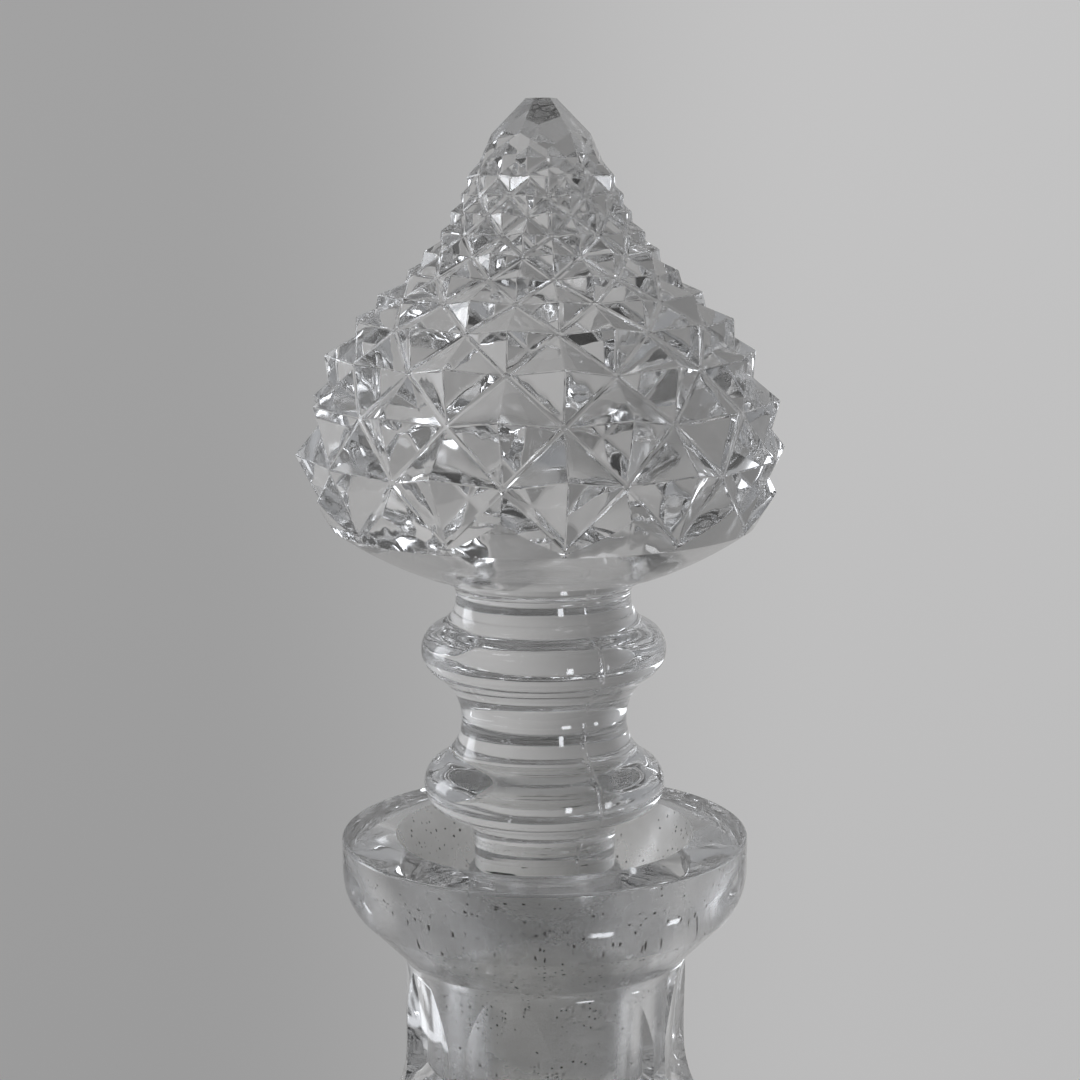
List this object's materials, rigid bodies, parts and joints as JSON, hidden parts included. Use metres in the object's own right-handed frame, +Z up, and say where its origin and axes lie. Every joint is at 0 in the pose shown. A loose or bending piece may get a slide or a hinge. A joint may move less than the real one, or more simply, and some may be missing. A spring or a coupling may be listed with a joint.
{
  "type": "wine decanter",
  "caption": "Clear cut-glass wine decanter: wide everted lip, fluted neck, diamond-cut barrel body, and a lift-out stopper with a knopped stem and a tall pointed diamond finial.",
  "frame": {"origin": "centre of the standing ring under the foot, on the table plane", "axes": "+Z up along the shared axis of bottle and stopper; -Y is the front"},
  "size_m": [0.1136, 0.1136, 0.3423],
  "materials": {
    "bottle_glass": "clear pressed and cut glass, ground bore",
    "stopper_glass": "clear pressed glass, ground plug"
  },
  "bodies": {
    "bottle": {"bottle": "bottle_glass"},
    "stopper": {"stopper": "stopper_glass"}
  },
  "joints": [
    {"name": "stopper_lift", "type": "slide", "parent": "bottle", "child": "stopper", "axis": [0, 0, 1], "range_m": [0, 0.045]}
  ]
}
